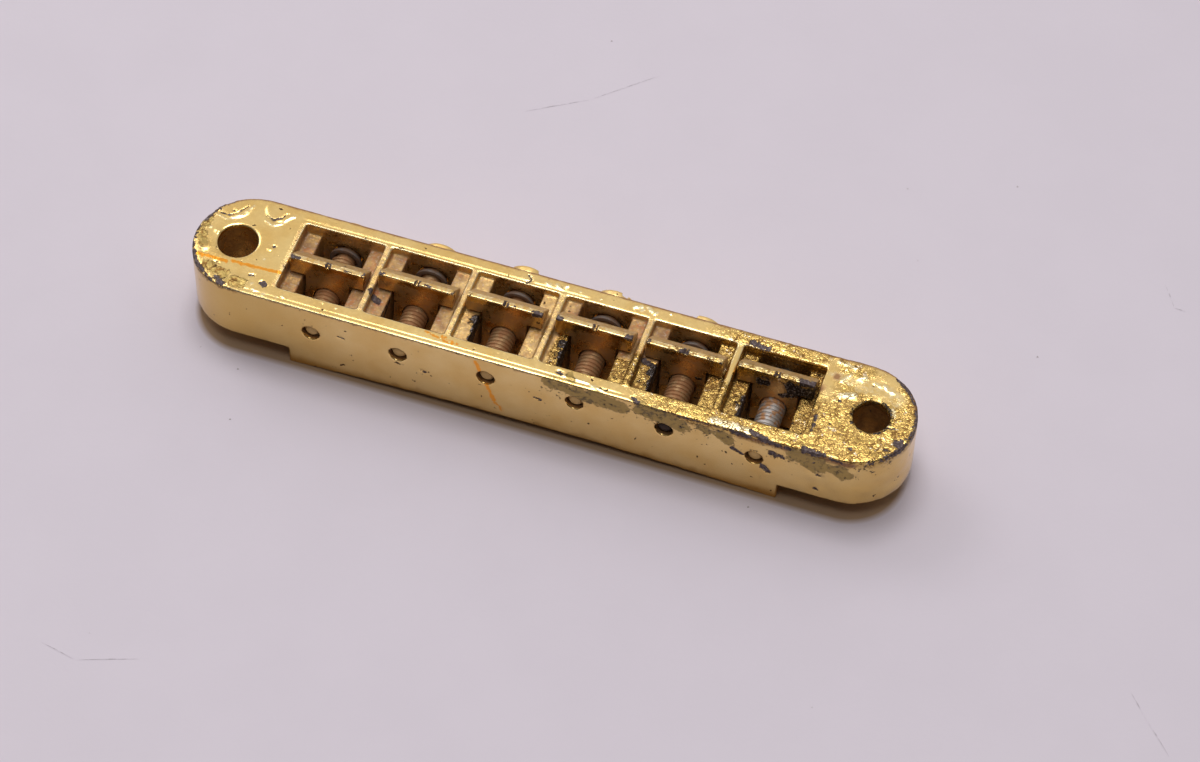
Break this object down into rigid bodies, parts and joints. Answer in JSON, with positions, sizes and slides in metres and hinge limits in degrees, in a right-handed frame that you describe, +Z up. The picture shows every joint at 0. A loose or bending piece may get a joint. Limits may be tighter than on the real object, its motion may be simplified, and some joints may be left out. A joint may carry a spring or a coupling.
{
  "type": "electric guitar bridge",
  "caption": "Metal bar with round ends and post holes, carrying wedge saddles on rails, each moved along its bay by a slotted screw held by a split ring.",
  "frame": {"origin": "on the surface that the bar rests on, under the middle of the whole object", "axes": "+X along the bar, towards the treble end as strung for a right-handed player; +Y from the screw tips to the screw heads; +Z up, towards the strings"},
  "size_m": [0.084, 0.0148, 0.0119],
  "materials": {
    "bar_plating": "worn gold plating on a grey cast bar, blistered and crinkled at the ends",
    "saddle_plating": "worn gold plating, string notch and blade ends rubbed dark",
    "screw_steel": "gold flash worn off a threaded shank, light rust",
    "ring_steel": "blued spring steel"
  },
  "bodies": {
    "bridge": {"bridge_body": "bar_plating"},
    "screw_1": {"intonation_screw_1": "screw_steel", "retaining_ring_1": "ring_steel"},
    "screw_2": {"intonation_screw_2": "screw_steel", "retaining_ring_2": "ring_steel"},
    "screw_3": {"intonation_screw_3": "screw_steel", "retaining_ring_3": "ring_steel"},
    "screw_4": {"intonation_screw_4": "screw_steel", "retaining_ring_4": "ring_steel"},
    "screw_5": {"intonation_screw_5": "screw_steel", "retaining_ring_5": "ring_steel"},
    "screw_6": {"intonation_screw_6": "screw_steel", "retaining_ring_6": "ring_steel"},
    "saddle_1": {"saddle_1": "saddle_plating"},
    "saddle_2": {"saddle_2": "saddle_plating"},
    "saddle_3": {"saddle_3": "saddle_plating"},
    "saddle_4": {"saddle_4": "saddle_plating"},
    "saddle_5": {"saddle_5": "saddle_plating"},
    "saddle_6": {"saddle_6": "saddle_plating"}
  },
  "joints": [
    {"name": "screw_1_turn", "type": "hinge", "parent": "bridge", "child": "screw_1", "pos_m": [-0.02587, -0.0007, 0.00626], "axis": [0, -1, 0], "range_deg": [-1620, 1710]},
    {"name": "screw_2_turn", "type": "hinge", "parent": "bridge", "child": "screw_2", "pos_m": [-0.01553, -0.0007, 0.00678], "axis": [0, -1, 0], "range_deg": [-2070, 1260]},
    {"name": "screw_3_turn", "type": "hinge", "parent": "bridge", "child": "screw_3", "pos_m": [-0.00517, -0.0007, 0.00705], "axis": [0, -1, 0], "range_deg": [-2340, 990]},
    {"name": "screw_4_turn", "type": "hinge", "parent": "bridge", "child": "screw_4", "pos_m": [0.00517, -0.0007, 0.00705], "axis": [0, -1, 0], "range_deg": [-2430, 900]},
    {"name": "screw_5_turn", "type": "hinge", "parent": "bridge", "child": "screw_5", "pos_m": [0.01553, -0.0007, 0.00678], "axis": [0, -1, 0], "range_deg": [-2610, 720]},
    {"name": "screw_6_turn", "type": "hinge", "parent": "bridge", "child": "screw_6", "pos_m": [0.02587, -0.0007, 0.00626], "axis": [0, -1, 0], "range_deg": [-3150, 180]},
    {"name": "saddle_1_slide", "type": "slide", "parent": "bridge", "child": "saddle_1", "axis": [0, 1, 0], "range_m": [-0.00225, 0.00237]},
    {"name": "saddle_2_slide", "type": "slide", "parent": "bridge", "child": "saddle_2", "axis": [0, 1, 0], "range_m": [-0.00287, 0.00175]},
    {"name": "saddle_3_slide", "type": "slide", "parent": "bridge", "child": "saddle_3", "axis": [0, 1, 0], "range_m": [-0.00325, 0.00137]},
    {"name": "saddle_4_slide", "type": "slide", "parent": "bridge", "child": "saddle_4", "axis": [0, 1, 0], "range_m": [-0.00337, 0.00125]},
    {"name": "saddle_5_slide", "type": "slide", "parent": "bridge", "child": "saddle_5", "axis": [0, 1, 0], "range_m": [-0.00363, 0.001]},
    {"name": "saddle_6_slide", "type": "slide", "parent": "bridge", "child": "saddle_6", "axis": [0, 1, 0], "range_m": [-0.00438, 0.00025]}
  ],
  "couplings": [
    {"joint": "screw_1_turn", "follows": "saddle_1_slide", "rad_per_m": 12566},
    {"joint": "screw_2_turn", "follows": "saddle_2_slide", "rad_per_m": 12566},
    {"joint": "screw_3_turn", "follows": "saddle_3_slide", "rad_per_m": 12566},
    {"joint": "screw_4_turn", "follows": "saddle_4_slide", "rad_per_m": 12566},
    {"joint": "screw_5_turn", "follows": "saddle_5_slide", "rad_per_m": 12566},
    {"joint": "screw_6_turn", "follows": "saddle_6_slide", "rad_per_m": 12566}
  ]
}
